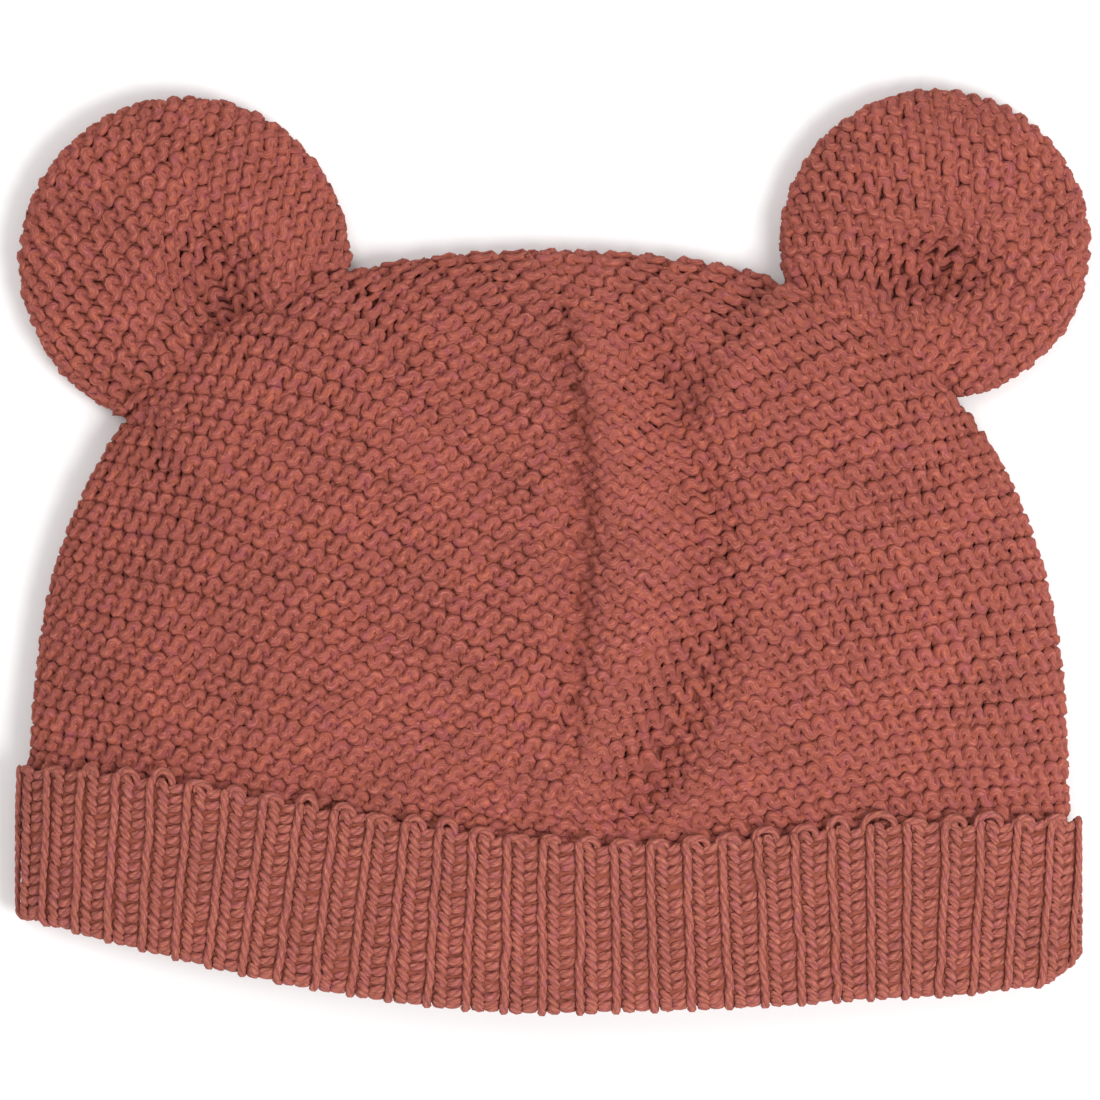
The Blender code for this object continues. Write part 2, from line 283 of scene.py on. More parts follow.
def yarn_mesh(name, centres, facing, radius, run, sides):
    """Yarn along runs of centre points, as one mesh closed at each run's ends.

    facing points out of the cloth. The UV map gives the length along the yarn in mm, and the
    place around it as a share of a turn.
    """
    unevenness = 0.055
    pressed = 0.80  # how near the inside of a bend comes to the bend's middle
    floor_gap = 0.02 * MM
    count = len(centres)
    joined = run[1:] == run[:-1]
    ahead = np.where(np.append(joined, False), np.arange(count) + 1, np.arange(count))
    behind = np.where(np.insert(joined, 0, False), np.arange(count) - 1, np.arange(count))
    along = unit(centres[ahead] - centres[behind])
    side = unit(np.cross(facing, along))
    out = np.cross(along, side)
    angle = np.arange(sides) * 2 * math.pi / sides
    noise = np.random.default_rng(count).normal(size=(count, sides))
    uneven = radius[:, None] * (1.0 + unevenness * noise)
    # The inside of a bend is pressed together, and doesn't reach past the bend's middle
    apart = np.maximum(np.linalg.norm(centres[ahead] - centres[behind], axis=1), 1e-9)
    bend = np.sum((along[ahead] - along[behind]) * side, axis=1) / apart
    room = (pressed / np.maximum(np.abs(bend), 1.0))[:, None]
    sideways = uneven * np.cos(angle)
    inside = sideways * bend[:, None] > 0.0
    sideways = np.where(inside, np.clip(sideways, -room, room), sideways)
    rings = (
        centres[:, None, :]
        + sideways[..., None] * side[:, None, :]
        + (YARN_FLATNESS * uneven * np.sin(angle))[..., None] * out[:, None, :]
    )
    # The yarn rests on the floor
    below = np.minimum(rings[..., 2].min(axis=1) - floor_gap, 0.0)
    rings[..., 2] -= below[:, None]
    step = np.linalg.norm(centres - centres[behind], axis=1) / MM
    length = np.cumsum(step)
    first = np.nonzero(joined)[0]
    turn = np.arange(sides)
    after = (turn + 1) % sides
    quads = np.stack(
        [
            first[:, None] * sides + turn,
            first[:, None] * sides + after,
            (first[:, None] + 1) * sides + after,
            (first[:, None] + 1) * sides + turn,
        ],
        axis=-1,
    ).reshape(-1)
    u = np.stack([length[first], length[first], length[first + 1], length[first + 1]], axis=-1)
    u = np.repeat(u[:, None, :], sides, axis=1).reshape(-1)
    v = np.stack([turn, turn + 1, turn + 1, turn], axis=-1) / sides
    v = np.tile(v.reshape(-1), len(first))
    starts = np.nonzero(np.insert(~joined, 0, True))[0]
    ends = np.nonzero(np.append(~joined, True))[0]
    caps = np.concatenate(
        [(starts[:, None] * sides + turn[::-1]).ravel(), (ends[:, None] * sides + turn).ravel()]
    )
    cap_u = np.repeat(length[np.concatenate([starts, ends])], sides)
    loops = np.concatenate([quads, caps])
    sizes = np.concatenate(
        [np.full(len(quads) // 4, 4), np.full(len(starts) + len(ends), sides)]
    )
    mesh = bpy.data.meshes.new(name)
    mesh.vertices.add(count * sides)
    mesh.vertices.foreach_set("co", rings.astype(np.float32).ravel())
    mesh.loops.add(len(loops))
    mesh.loops.foreach_set("vertex_index", loops.astype(np.int32))
    mesh.polygons.add(len(sizes))
    first_loops = np.insert(np.cumsum(sizes)[:-1], 0, 0)
    mesh.polygons.foreach_set("loop_start", first_loops.astype(np.int32))
    mesh.update(calc_edges=True)
    uv = mesh.uv_layers.new(name="yarn_mm")
    pairs = np.column_stack([np.concatenate([u, cap_u]), np.concatenate([v, 0.0 * cap_u])])
    uv.data.foreach_set("uv", pairs.astype(np.float32).ravel())
    mesh.shade_smooth()
    return mesh


def smooth_random(rng, count, every):
    """Random values that change gently, one new value in each stretch of that many points."""
    knots = rng.normal(size=count // every + 3)
    return np.interp(np.arange(count) / every, np.arange(len(knots)), knots)


def garter_row(
    place, value, nearby, facing_sign, stitch, segments, rng, anchor,
    sunk=(0.0, 1.0), lower=0.0, link=1.0,
):
    """One ridge: a yarn that swings up over a stitch and down between two.

    place gives the points of the row with that value, at shares of its length, and nearby is the
    value's change to the next ridge. anchor is a point and the stitch's turn there, so that the
    stitches stand above each other. sunk: how deep the row's start lies, and over what length.
    lower: how far the whole row lies behind the ridges, as the rows between them do.
    link: 1 if the yarn lies in front where it runs down from a stitch's top, -1 where it runs up.
    """
    narrowest, widest = 2.6 * MM, 5.0 * MM  # of the ridges' spacing, where the cloth is folded
    share = np.linspace(0.0, 1.0, 900)
    line = place(value, share)
    length = np.insert(np.cumsum(np.linalg.norm(np.diff(line, axis=0), axis=1)), 0, 0.0)
    step = stitch / segments
    count = int(length[-1] / step)
    if count < 2 * segments:
        return None, anchor
    at = np.interp(step * (np.arange(count) + 0.5), length, share)
    base = place(value, at)
    along = unit(np.gradient(base, axis=0))
    up = (place(value + 0.05 * nearby, at) - place(value - 0.05 * nearby, at)) / 0.1
    up = up - np.sum(up * along, axis=1, keepdims=True) * along
    spacing = np.clip(np.linalg.norm(up, axis=1), narrowest, widest)
    up = unit(up)
    facing = facing_sign * np.cross(along, up)
    point, start = anchor
    foot = 2 * segments
    if point is not None:
        foot = int(np.argmin(np.linalg.norm(base - point, axis=1)))
    anchor = (base[foot], start)
    turn = start + 2 * math.pi * (np.arange(count) - foot) / segments
    # No two stitches are quite alike in length, height and place
    turn = turn + 0.20 * smooth_random(rng, count, 3 * segments)
    swing = WAVE * spacing * (1.0 + 0.12 * smooth_random(rng, count, segments))
    slide = 0.14 * MM * np.sin(2 * turn) + 0.13 * MM * smooth_random(rng, count, segments)
    drift = 0.15 * MM * smooth_random(rng, count, segments // 2)
    # The yarn comes forward at the tops and feet, and on one side of each top
    height = 0.20 * MM * np.cos(2 * turn) + 0.34 * MM * link * np.sin(turn)
    height = height + 0.12 * MM * smooth_random(rng, count, segments // 2)
    sunk_depth, sunk_length = sunk
    from_start = step * np.arange(count)
    height = height - lower - sunk_depth * np.exp(-((from_start / sunk_length) ** 2))
    # It is fuller there too
    fuller = 0.14 * np.cos(2 * turn) + 0.06 * np.cos(turn)
    fuller = fuller + 0.07 * smooth_random(rng, count, segments // 2)
    radius = YARN * (1.0 + fuller)
    centre = (
        base
        + (swing * np.cos(turn) + drift)[:, None] * up
        + slide[:, None] * along
        + (height - RIDGE_BACK - 0.85 * YARN)[:, None] * facing
    )
    return (centre, facing, radius, base), anchor


def gather(rows):
    """Joins the rows' points into the arrays of one mesh, with a new run after each gap."""
    fewest_points = 6
    end_width = 0.35  # of a run's ends, as a share of the yarn's
    centres, facings, radii, runs = [], [], [], []
    run = 0
    for centre, facing, radius, kept in rows:
        breaks = np.cumsum(np.insert(kept[1:] != kept[:-1], 0, True))
        for part in np.unique(breaks[kept]):
            chosen = (breaks == part) & kept
            if chosen.sum() < fewest_points:
                continue
            shrink = radius[chosen].copy()
            shrink[[0, -1]] *= end_width
            centres.append(centre[chosen])
            facings.append(facing[chosen])
            radii.append(shrink)
            runs.append(np.full(chosen.sum(), run))
            run += 1
    return [np.concatenate(parts) for parts in (centres, facings, radii, runs)]


# Materials


def linear(hexa):
    """An sRGB hex colour as linear red, green, blue and 1."""
    channels = [int(hexa[i : i + 2], 16) / 255 for i in (1, 3, 5)]
    return [c / 12.92 if c <= 0.04045 else ((c + 0.055) / 1.055) ** 2.4 for c in channels] + [1.0]


def node(tree, kind, settings=None, **links):
    """Adds a node. settings are its own properties.

    links are values or sockets, by the input's name, or by its number after an underscore.
    """
    new = tree.nodes.new("ShaderNode" + kind)
    for key, value in (settings or {}).items():
        setattr(new, key, value)
    for key, value in links.items():
        numbered = key[1:].isdigit()
        socket = new.inputs[int(key[1:]) if numbered else key.replace("_", " ")]
        if isinstance(value, bpy.types.NodeSocket):
            tree.links.new(value, socket)
        else:
            socket.default_value = value
    return new


def ramp(tree, value, low, high, at_low=0.0, at_high=1.0):
    """A value taken from between low and high to between at_low and at_high."""
    limits = {"From_Min": low, "From_Max": high, "To_Min": at_low, "To_Max": at_high}
    return node(tree, "MapRange", Value=value, **limits).outputs[0]


def mixed(tree, share, first, second):
    """The first colour, mixed with a share of the second."""
    return node(tree, "Mix", {"data_type": "RGBA"}, _0=share, _6=first, _7=second).outputs[2]


def maths(tree, operation, *values):
    links = {f"_{i}": value for i, value in enumerate(values)}
    return node(tree, "Math", {"operation": operation}, **links).outputs[0]


def cotton_yarn(name, plies, body, fleck, pink, shade, ply_groove_shade, light_fibre_and_highlight):
    """Cotton spun from brick-red, orange and rose fibres, three plies twisted: a matt heather.

    plies: how clearly the single plies show, from 0 to 1, in the bump and in the painted shade of
    the grooves between them.
    """
    material = bpy.data.materials.new(name)
    material.use_nodes = True
    tree = material.node_tree
    shader = tree.nodes["Principled BSDF"]
    place = node(tree, "TexCoord").outputs["Object"]
    yarn = node(tree, "UVMap", {"uv_map": "yarn_mm"}).outputs["UV"]
    # Flecks of other fibres, 1.2 mm across, and slow changes over 12 mm
    small = node(tree, "TexNoise", Vector=place, Scale=820.0, Detail=2.0, Roughness=0.6)
    other = node(
        tree, "TexNoise", {"noise_dimensions": "4D"}, Vector=place, W=7.0, Scale=560.0, Detail=2.0
    )
    broad = node(tree, "TexNoise", Vector=place, Scale=85.0, Detail=3.0, Roughness=0.6)
    colour = mixed(tree, ramp(tree, small.outputs["Fac"], 0.50, 0.66), linear(body), linear(fleck))
    colour = mixed(tree, ramp(tree, other.outputs["Fac"], 0.52, 0.70), colour, linear(pink))
    shaded = ramp(tree, broad.outputs["Fac"], 0.35, 0.75, 0.0, 0.6)
    colour = mixed(tree, shaded, colour, linear(shade))
    # Round the yarn without a break: cosine and sine of the place around it
    split = node(tree, "SeparateXYZ", Vector=yarn)
    length, around = split.outputs["X"], split.outputs["Y"]
    angle = maths(tree, "MULTIPLY", around, 2 * math.pi)
    cosine = maths(tree, "COSINE", angle)
    sine = maths(tree, "SINE", angle)
    # Fibres run along the yarn: streaks 0.3 mm wide and 2 mm long, of lighter and darker fibres.
    # The same streaks raise the bump, so the lighter colour on its crests is also painted highlight
    # and the darker in its hollows painted shade
    drawn = maths(tree, "MULTIPLY", length, 0.22)
    skin = node(tree, "CombineXYZ", X=drawn, Y=cosine, Z=sine).outputs[0]
    noise = node(tree, "TexNoise", Vector=skin, Scale=4.0, Detail=3.0, Roughness=0.70)
    streak = noise.outputs["Fac"]
    colour = mixed(tree, ramp(tree, streak, 0.50, 0.66, 0.0, 0.80), colour, linear(light_fibre_and_highlight))
    # darker fibres, and painted shade in the bump's hollows
    colour = mixed(tree, ramp(tree, streak, 0.48, 0.32, 0.0, 0.70), colour, linear(shade))
    # The plies: three round the yarn, with one full twist in 7 mm. The grooves between them are
    # darkened with painted shade
    twist = maths(tree, "MULTIPLY", length, 3 * 2 * math.pi / 7.0)
    ply = maths(tree, "SINE", maths(tree, "MULTIPLY_ADD", angle, 3.0, twist))
    groove = ramp(tree, ply, -1.0, -0.45, 0.75 * plies, 0.0)
    colour = mixed(tree, groove, colour, linear(ply_groove_shade))
    # Loose fibres, 0.25 mm apart
    fibres = node(tree, "TexNoise", Vector=place, Scale=3600.0, Detail=2.0)
    soft = maths(tree, "MULTIPLY", fibres.outputs["Fac"], 0.8)
    rough = maths(tree, "MULTIPLY_ADD", ply, plies, soft)
    height = maths(tree, "MULTIPLY_ADD", streak, 1.6, rough)
    bump = node(tree, "Bump", Height=height, Strength=0.9, Distance=0.15 * MM)
    tree.links.new(colour, shader.inputs["Base Color"])
    tree.links.new(bump.outputs["Normal"], shader.inputs["Normal"])
    shader.inputs["Roughness"].default_value = 0.88
    shader.inputs["IOR"].default_value = 1.45
    shader.inputs["Specular IOR Level"].default_value = 0.25
    shader.inputs["Sheen Weight"].default_value = 0.20
    shader.inputs["Sheen Roughness"].default_value = 0.50
    shader.inputs["Sheen Tint"].default_value = linear(light_fibre_and_highlight)
    return material


def knitted_ground(name, deep, light):
    """The cloth behind the ridges: the same cotton where little light gets to it, in darker colours
    that are painted shade.
    """
    material = bpy.data.materials.new(name)
    material.use_nodes = True
    tree = material.node_tree
    shader = tree.nodes["Principled BSDF"]
    place = node(tree, "TexCoord").outputs["Object"]
    # Loops about 1.8 mm apart, the darker colour where the bump sinks them, as painted shade
    loops = node(tree, "TexNoise", Vector=place, Scale=550.0, Detail=3.0)
    colour = mixed(tree, loops.outputs["Fac"], linear(deep), linear(light))
    bump = node(tree, "Bump", Height=loops.outputs["Fac"], Strength=0.8, Distance=0.8 * MM)
    tree.links.new(colour, shader.inputs["Base Color"])
    tree.links.new(bump.outputs["Normal"], shader.inputs["Normal"])
    shader.inputs["Roughness"].default_value = 0.95
    shader.inputs["Specular IOR Level"].default_value = 0.15
    return material


def finish_piece(name, mesh, material, stands_for):
    mesh.materials.append(material)
    piece = bpy.data.objects.new(name, mesh)
    bpy.context.scene.collection.objects.link(piece)
    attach(piece, "root")
    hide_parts(stands_for)
    return piece


# Crown


def ridges_below(x, y, right):
    """How many ridges lie below a place on the front, and on the back behind it."""
    across, up = x / (50 * MM), y / (50 * MM)
    across_powers, up_powers = [1.0, across], [1.0, up]
    for _ in range(3):
        across_powers.append(across_powers[-1] * across)
        up_powers.append(up_powers[-1] * up)
    total = 0.0
    for x_power, y_power, left_share, right_share in RIDGES_BELOW:
        ridges = right_share if right else left_share
        total = total + ridges * across_powers[x_power] * up_powers[y_power]
    # The rows wander a little
    sway = 0.09 * np.sin(x / (7 * MM) + y / (9 * MM))
    sway = sway + 0.07 * np.sin(x / (4.3 * MM) - y / (13 * MM))
    return total + sway


def height_where(wanted, count_at):
    """The heights at which count_at, which grows with the height, reaches the wanted value."""
    below_hem, halvings = -0.100, 22
    low = np.full(np.shape(wanted), below_hem)
    high = np.full(np.shape(wanted), BASE_Y + RISE - 1e-5)
    for _ in range(halvings):
        y = 0.5 * (low + high)
        over = count_at(y) > wanted
        high = np.where(over, y, high)
        low = np.where(over, low, y)
    return 0.5 * (low + high)


def crown_row(right):
    """Returns the function that places a row of that side, from the seam round to the back."""
    past_seam = -3.0 * MM if right else 1.3 * MM  # both sides' rows lie over each other there

    def seam_x(y):
        return read_table(FRONT_LINES, (y - BASE_Y) / RISE, 1) * HALF_WIDTH + past_seam

    def place(value, share):
        share = np.asarray(share, float)
        seam_y = height_where(np.array([value]), lambda y: ridges_below(seam_x(y), y, right))
        seam_across = seam_x(seam_y) / np.maximum(width_at(seam_y), 1e-4)
        start = np.arcsin(np.clip(seam_across, -1, 1)) / (2 * math.pi)
        if right:
            around = start + share * (0.5 - 2 * start)
        else:
            around = start - share * (0.5 + 2 * start)
        across = across_of(around)
        y = height_where(
            value + 0.0 * share, lambda y: ridges_below(width_at(y) * across, y, right)
        )
        return hat_surface(around, y)

    return place


def above_cuff(points):
    """True where the crown isn't hidden behind the cuff, and a little further down."""
    behind_cuff = 3.5 * MM
    across = np.clip(points[:, 0] / HALF_WIDTH, -1.0, 1.0)
    turn = np.arcsin(across) / (2 * math.pi)
    front = points[:, 2] > FOLD_RADIUS + 1.3 * MM
    around = np.where(front, turn, 0.5 - turn)
    return points[:, 1] > cuff_top(around) - behind_cuff


def make_crown_yarn(yarn):
    rng = np.random.default_rng(11)
    # right, first ridge, last ridge, length of a stitch, depth and length of the sunk ends
    for right, first, last, stitch, sunk in (
        (False, 11.65, -30, 2.87 * MM, (0.5 * MM, 1.4 * MM)),
        (True, 12.35, -30, 3.01 * MM, (1.1 * MM, 4.2 * MM)),
    ):
        place = crown_row(right)
        side = 1.0 if right else -1.0
        fronts, backs, between = [], [], []
        anchor = (None, 0.0)
        for value in np.arange(first, last, -1.0):
            row, anchor = garter_row(
                place, value, 1.0, side, stitch, RIDGE_POINTS, rng, anchor, sunk
            )
            if row is None:
                continue
            centre, facing, radius, base = row
            kept = above_cuff(base)
            front = facing[:, 2] > FRONT_FACING
            fronts.append((centre, facing, radius, kept & front))
            # The back has every second point, as it lies on the floor
            backs.append([part[::2] for part in (centre, facing, radius, kept & ~front)])
            row, _ = garter_row(
                place, value - 0.5, 1.0, side, stitch, BETWEEN_POINTS, rng, anchor, sunk,
                BETWEEN_LOWER,
            )
            if row is not None:
                centre, facing, radius, base = row
                kept = above_cuff(base) & (facing[:, 2] > BETWEEN_FACING)
                between.append((centre, facing, radius, kept))
        word = "right" if right else "left"
        for name, rows, sides in (
            ("crown_front_" + word, fronts, RIDGE_SIDES),
            ("crown_between_" + word, between, BETWEEN_SIDES),
            ("crown_back_" + word, backs, RIDGE_SIDES),
        ):
            mesh = yarn_mesh(name, *gather(rows), sides)
            finish_piece(name, mesh, yarn, "crown")


def make_crown_ground(ground):
    """The crown's cloth behind its ridges, open at the hem."""
    shape = bmesh.new()
    columns, rows = 144, 44
    behind_cuff = 20.0 * MM
    bmesh.ops.create_uvsphere(shape, u_segments=columns, v_segments=2 * rows, radius=1.0)
    lower = [vertex for vertex in shape.verts if vertex.co.z < -1e-4]
    bmesh.ops.delete(shape, geom=lower, context="VERTS")
    at = np.array([vertex.co for vertex in shape.verts])
    around = np.round(np.arctan2(-at[:, 0], at[:, 1]) / (2 * math.pi) % 1.0, 6) % 1.0
    bottom = cuff_top(around) - behind_cuff
    y = bottom + (BASE_Y + RISE - bottom) * np.clip(at[:, 2], 0.0, 1.0)
    for vertex, point in zip(shape.verts, hat_surface(around, y)):
        vertex.co = point
    mesh = bpy.data.meshes.new("crown_ground")
    shape.to_mesh(mesh)
    shape.free()
    mesh.shade_smooth()
    piece = finish_piece("crown_ground", mesh, ground, "crown")
    inset = piece.modifiers.new("behind the ridges", "DISPLACE")
    inset.strength = -CROWN_INSET
    inset.mid_level = 0.0
    wall = piece.modifiers.new("wall", "SOLIDIFY")
    wall.thickness = 1.0 * MM
    wall.offset = -1.0


# Ears


def ear_shape(row):
    """The dimple's middle, a function for points of the ear's face, and one for its outline.

    turn: direction from the dimple. level: from 0 at the rim to a quarter turn at the dimple, and
    below 0 on the back.
    """
    across, up, size, dent_x, dent_y, dent_long, dent_wide, dent_turn = row[1:9]
    radius = EAR_RADIUS * size
    centre = np.array([across * HALF_WIDTH, BASE_Y + up * RISE])
    from_middle = radius * np.array([dent_x, dent_y])
    dimple = centre + from_middle
    turns = np.linspace(-math.pi, math.pi, 721)
    direction = np.stack([np.cos(turns), np.sin(turns)], axis=-1)
    ahead = direction @ from_middle
    to_rim = np.sqrt(ahead**2 + radius**2 - from_middle @ from_middle) - ahead
    steps = np.linspace(0.0, 3.0 * EAR_RADIUS, 1500)
    points = dimple + direction[:, None, :] * steps[None, :, None]
    height = np.clip((points[..., 1] - BASE_Y) / RISE, 0.0, None)
    inside = (np.abs(points[..., 0] / HALF_WIDTH) ** SQUARENESS + height**SQUARENESS) < 1.0
    to_crown = np.where(inside.any(axis=1), steps[np.argmax(inside, axis=1)], steps[-1])
    to_crown = to_crown + EAR_OVERLAP
    edges = (to_rim**-EAR_CORNER + to_crown**-EAR_CORNER) ** (-1.0 / EAR_CORNER)
    joined = eased((to_rim / to_crown - 0.92) / 0.22)
    rims = EAR_RIM + (FOLD_RADIUS + JOIN_RAISE - EAR_RIM) * joined
    side = math.radians(dent_turn)

    def point(turn, level):
        edge = np.interp(turn, turns, edges)
        flat = np.stack([np.cos(turn), np.sin(turn)], axis=-1)
        offset = flat * (edge * np.cos(level) ** EAR_ROUNDNESS)[..., None]
        long_way = offset[..., 0] * math.cos(side) + offset[..., 1] * math.sin(side)
        short_way = offset[..., 1] * math.cos(side) - offset[..., 0] * math.sin(side)
        along_dent = long_way / (dent_long * radius)
        across_dent = short_way / (DIMPLE_WIDER * dent_wide * radius)
        away = np.hypot(along_dent, across_dent)
        hollow = 1.12 * np.exp(-(away**2))
        swelling = 0.22 * np.exp(-((away - 1.9) ** 2))
        dent = DIMPLE_DEPTH * (hollow - swelling)
        slope = np.abs(np.sin(level))
        rim = np.interp(turn, turns, rims)
        above = rim + (EAR_RIM + EAR_LOFT - rim) * slope**0.8 - dent * eased(slope / 0.35)
        below = rim * (1.0 - np.clip(1.7 * slope, 0.0, 1.0))
        z = np.where(level >= 0.0, above, below)
        return np.concatenate([dimple + offset, z[..., None]], axis=-1)

    def edge_at(turn):
        return np.interp(turn, turns, edges)

    return dimple, point, edge_at


def ear_rows(row):
    """Places rows as arcs about the ear's fan point, over the front and on over the back."""
    dimple, point, edge_at = ear_shape(row)
    fan = np.array(row[9:11]) * MM
    # How much longer the way over the ear is than the way below it, by level
    levels = np.linspace(0.0, math.pi / 2, 400)
    sample = EAR_RADIUS * np.cos(levels) ** EAR_ROUNDNESS
    heights = EAR_RIM + EAR_LOFT * np.sin(levels) ** 0.8
    path = np.hypot(np.diff(sample), np.diff(heights)) - np.abs(np.diff(sample))
    extra = np.append(np.cumsum(path[::-1])[::-1], 0.0)

    def on_cloth(flat):
        """Turn and level of points of the ear laid out flat, and whether they are on it."""
        offset = flat - dimple
        turn = np.arctan2(offset[..., 1], offset[..., 0])
        far = np.hypot(offset[..., 0], offset[..., 1])
        edge = edge_at(turn)
        low, high = np.zeros_like(far), np.full_like(far, math.pi / 2)
        for _ in range(26):
            level = 0.5 * (low + high)
            reach = edge * np.cos(level) ** EAR_ROUNDNESS + np.interp(level, levels, extra)
            high = np.where(reach < far, level, high)
            low = np.where(reach < far, low, level)
        return turn, 0.5 * (low + high), far < edge + extra[0]

    def span(value):
        """The range of angles about the fan point for which a row is on the ear."""
        angles = np.linspace(-0.5 * math.pi, 1.5 * math.pi, 1441)
        flat = fan + value * np.stack([np.cos(angles), np.sin(angles)], axis=-1)
        inside = on_cloth(flat)[2]
        if not inside.any():
            return None
        return angles[inside][0], angles[inside][-1]

    def place_in(first, last):
        def place(value, share):
            share = np.asarray(share, float)
            half = np.where(share < 0.5, share * 2.0, 2.0 - share * 2.0)
            angle = first + (last - first) * (0.5 - 0.5 * np.cos(math.pi * half))
            flat = fan + value * np.stack([np.cos(angle), np.sin(angle)], axis=-1)
            turn, level, _ = on_cloth(flat)
            return point(turn, np.where(share < 0.5, level, -level))

        return place

    return span, place_in


def make_ear_yarn(row, yarn, seed):
    name, across = row[:2]
    rng = np.random.default_rng(seed)
    span, place_in = ear_rows(row)
    rows, between = [], []
    link = 1.0 if across < 0.0 else -1.0
    first, most_rows = 6.0 * MM, 60
    step = EAR_RIDGE
    anchor = (None, 0.0)
    for k in range(most_rows):
        value = first + k * step
        ends = span(value)
        if ends is None:
            continue
        place = place_in(*ends)
        if anchor[0] is None:
            anchor = (place(value, np.array([0.25]))[0], 0.0)
        ridge, anchor = garter_row(
            place, value, step, -1.0, EAR_STITCH, RIDGE_POINTS, rng, anchor, link=link
        )
        if ridge is not None:
            centre, facing, radius, base = ridge
            rows.append((centre, facing, radius, np.ones(len(base), bool)))
        ends = span(value + 0.5 * step)
        if ends is None:
            continue
        lower, _ = garter_row(
            place_in(*ends), value + 0.5 * step, step, -1.0, EAR_STITCH, BETWEEN_POINTS, rng,
            anchor, lower=BETWEEN_LOWER, link=link,
        )
        if lower is not None:
            centre, facing, radius, base = lower
            between.append((centre, facing, radius, facing[:, 2] > BETWEEN_FACING))
    mesh = yarn_mesh(name + "_yarn", *gather(rows), RIDGE_SIDES)
    finish_piece(name + "_yarn", mesh, yarn, name)
    mesh = yarn_mesh(name + "_between", *gather(between), BETWEEN_SIDES)
    finish_piece(name + "_between", mesh, yarn, name)


def make_ear_ground(row, ground):
    """The ear's cloth behind its ridges: the pad drawn in by the yarn's depth."""
    name = row[0]
    _, point, _ = ear_shape(row)
    shape = bmesh.new()
    bmesh.ops.create_uvsphere(shape, u_segments=64, v_segments=44, radius=1.0)
    at = np.array([vertex.co for vertex in shape.verts])
    level = np.arcsin(np.clip(at[:, 2], -1.0, 1.0))
    level = np.sign(level) * np.arccos(np.clip(np.cos(level), 0.0, 1.0) ** 2.2)
    turn = np.arctan2(at[:, 1], at[:, 0])
    for vertex, place in zip(shape.verts, point(turn, level)):
        vertex.co = place
    mesh = bpy.data.meshes.new(name + "_ground")
    shape.to_mesh(mesh)
    shape.free()
    mesh.shade_smooth()
    piece = finish_piece(name + "_ground", mesh, ground, name)
    inset = piece.modifiers.new("behind the ridges", "DISPLACE")
    inset.strength = -EAR_INSET
    inset.mid_level = 0.0


# Cuff


def lengths_round_cuff(level=0.5, steps=2000):
    """Places in turns round the cuff, half way up, and the lengths to them from the back's middle.

    Returns also the whole length, and the length to the front's middle.
    """
    fine = np.linspace(-0.5, 0.5, steps + 1)
    line = hat_surface(fine, hem_y(fine) + level * cuff_height(fine))
    gaps = np.linalg.norm(np.diff(line, axis=0), axis=1)
    length = np.insert(np.cumsum(gaps), 0, 0.0)
    return fine, length, length[-1], length[steps // 2]


CUFF_FINE, CUFF_LENGTH, CUFF_ROUND, CUFF_TO_FRONT = lengths_round_cuff()


def even_around(share):
    """The place in turns at a share of the cuff's length, both from the front's middle."""
    wanted = (share * CUFF_ROUND + CUFF_TO_FRONT) % CUFF_ROUND
    return np.interp(wanted, CUFF_LENGTH, CUFF_FINE)


def cuff_point(sideways, down, deep):
    """A point of the cuff's cloth.

    sideways: length round the cuff from the front's middle. down: length from its top edge over
    the hem and up inside. deep: how far the point lies under the outer face.
    """
    share = sideways / CUFF_ROUND
    straight = even_around(share)
    height = cuff_height(straight)
    lean = read_table(CUFF_EDGES, across_of(straight), 3)
    lean = lean * np.where(on_front(straight), 1.0, 0.3)
    level = 1.0 - down / height
    shifted = share + lean * (np.clip(level, 0.0, 1.1) - 0.5) * height / CUFF_ROUND
    around = even_around(shifted)
    full = cuff_height(around)
    before = full - HEM_BEND
    past = np.clip((down - before) / HEM_BEND, 0.0, math.pi)
    inside = np.maximum(down - before - math.pi * HEM_BEND, 0.0)
    outer_y = hem_y(around) + full - down
    turned_y = hem_y(around) + HEM_BEND - (HEM_BEND - deep) * np.sin(past) + inside
    y = np.where(down < before, outer_y, turned_y)
    out = 0.5 * CLEARANCE + (HEM_BEND - deep) * np.cos(past)
    return hat_surface(around, y) + out[..., None] * outward_normal(around, y)


